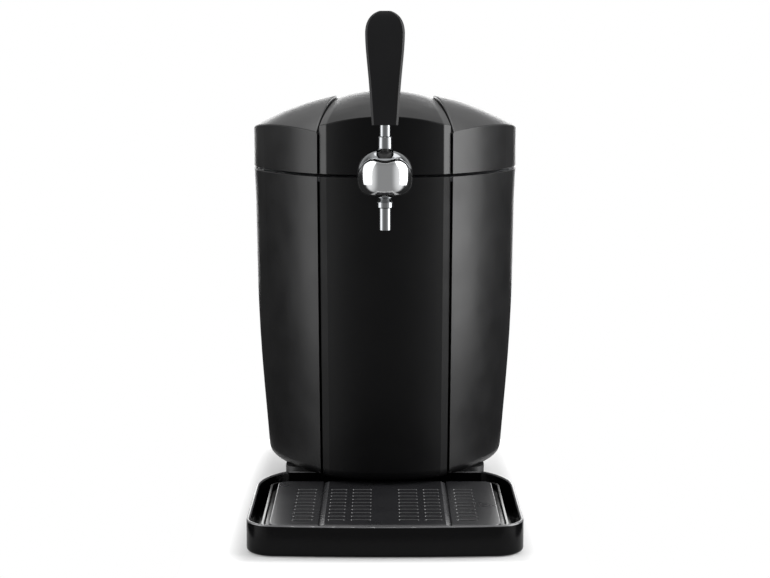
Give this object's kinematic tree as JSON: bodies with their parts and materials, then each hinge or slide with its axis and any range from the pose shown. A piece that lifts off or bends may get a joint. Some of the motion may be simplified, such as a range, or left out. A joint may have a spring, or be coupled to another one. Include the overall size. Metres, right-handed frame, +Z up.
{
  "type": "mini keg beer dispenser",
  "caption": "Countertop cooled dispenser for a mini keg: black body with hinged lid, chromed ball tap with pull handle, slotted drip tray.",
  "frame": {"origin": "on the table, under the middle of the whole dispenser's width and depth", "axes": "+Z up, -Y towards the front with the tap, +X to the right seen from the front"},
  "size_m": [0.2706, 0.456, 0.4885],
  "materials": {
    "satin_black_abs": "satin",
    "tray_black": "gloss",
    "grid_dark_grey": "satin",
    "handle_black": "matte",
    "chrome_plate": "polished",
    "stainless_steel": "satin",
    "zinc_screws": "satin",
    "rubber_black": "matte",
    "white_foam": "matte",
    "liner_aluminium": "satin",
    "white_ceramic": "matte",
    "grey_plastic": "satin",
    "inner_black": "matte",
    "switch_black": "gloss",
    "knob_grey": "satin",
    "valve_white": "satin",
    "board_green": "satin",
    "component_black": "satin",
    "nickel_plate": "satin"
  },
  "bodies": {
    "dispenser": {"base_plate": "inner_black", "base_screws": "zinc_screws", "board_components": "component_black", "body_floor": "inner_black", "cartridge_sleeve": "inner_black", "clamp_screws": "zinc_screws", "cold_block": "liner_aluminium", "coupler_head": "grey_plastic", "coupler_nozzle": "valve_white", "coupler_seal": "rubber_black", "fan_frame": "inner_black", "fan_screws": "zinc_screws", "front_panel": "satin_black_abs", "gas_cartridge": "stainless_steel", "heat_sink": "liner_aluminium", "hinge_brackets": "inner_black", "hinge_pins": "zinc_screws", "inlet_pins": "nickel_plate", "insulation_jacket": "white_foam", "keg_liner": "liner_aluminium", "left_side_shell": "satin_black_abs", "lever_pin": "stainless_steel", "mains_inlet": "inner_black", "pedestal": "inner_black", "peltier_module": "white_ceramic", "power_board": "board_green", "pressure_regulator": "inner_black", "rear_panel": "satin_black_abs", "rear_panel_screws": "zinc_screws", "right_side_shell": "satin_black_abs", "rubber_feet": "rubber_black", "shank_flange": "chrome_plate", "shank_saddle": "inner_black", "spout_collar": "chrome_plate", "spout_tube": "chrome_plate", "switch_frame": "inner_black", "tap_ball": "chrome_plate", "tap_bonnet": "chrome_plate", "tap_shank": "stainless_steel", "top_deck": "grey_plastic"},
    "lid": {"lid_cover": "satin_black_abs", "lid_liner": "grey_plastic", "lid_insulation": "white_foam", "lid_gasket": "rubber_black", "lid_screws": "zinc_screws", "lid_hinge_arms": "inner_black"},
    "lever": {"lever_hub": "inner_black", "lever_collar": "chrome_plate", "lever_stem": "chrome_plate", "tap_handle": "handle_black"},
    "valve": {"valve_plunger": "valve_white"},
    "tray": {"drip_tray": "tray_black"},
    "grid": {"drip_grid": "grid_dark_grey"},
    "fan": {"fan_rotor": "inner_black"},
    "rocker": {"switch_rocker": "switch_black"},
    "knob": {"regulator_knob": "knob_grey"}
  },
  "joints": [
    {"name": "lid_hinge", "type": "hinge", "parent": "dispenser", "child": "lid", "pos_m": [0, 0.223, 0.3333], "axis": [-1, 0, 0], "range_deg": [0, 85]},
    {"name": "lever_pull", "type": "hinge", "parent": "dispenser", "child": "lever", "pos_m": [0, -0.124, 0.3476], "axis": [1, 0, 0], "range_deg": [0, 35]},
    {"name": "valve_slide", "type": "slide", "parent": "dispenser", "child": "valve", "axis": [0, 1, 0], "range_m": [0, 0.00515]},
    {"name": "tray_slide", "type": "slide", "parent": "dispenser", "child": "tray", "axis": [0, -1, 0], "range_m": [0, 0.16]},
    {"name": "grid_lift", "type": "hinge", "parent": "tray", "child": "grid", "pos_m": [0, -0.0512, 0.0242], "axis": [-1, 0, 0], "range_deg": [0, 16]},
    {"name": "fan_spin", "type": "hinge", "parent": "dispenser", "child": "fan", "pos_m": [0, 0.19, 0.24], "axis": [0, 1, 0], "continuous": true},
    {"name": "rocker_tilt", "type": "hinge", "parent": "dispenser", "child": "rocker", "pos_m": [0.024, 0.2052, 0.068], "axis": [0, 0, 1], "range_deg": [-8, 8]},
    {"name": "knob_turn", "type": "hinge", "parent": "dispenser", "child": "knob", "pos_m": [0.032, 0.098, 0.3386], "axis": [1, 0, 0], "range_deg": [0, 270]}
  ],
  "couplings": [
    {"joint": "valve_slide", "follows": "lever_pull", "m_per_rad": 0.0084}
  ]
}
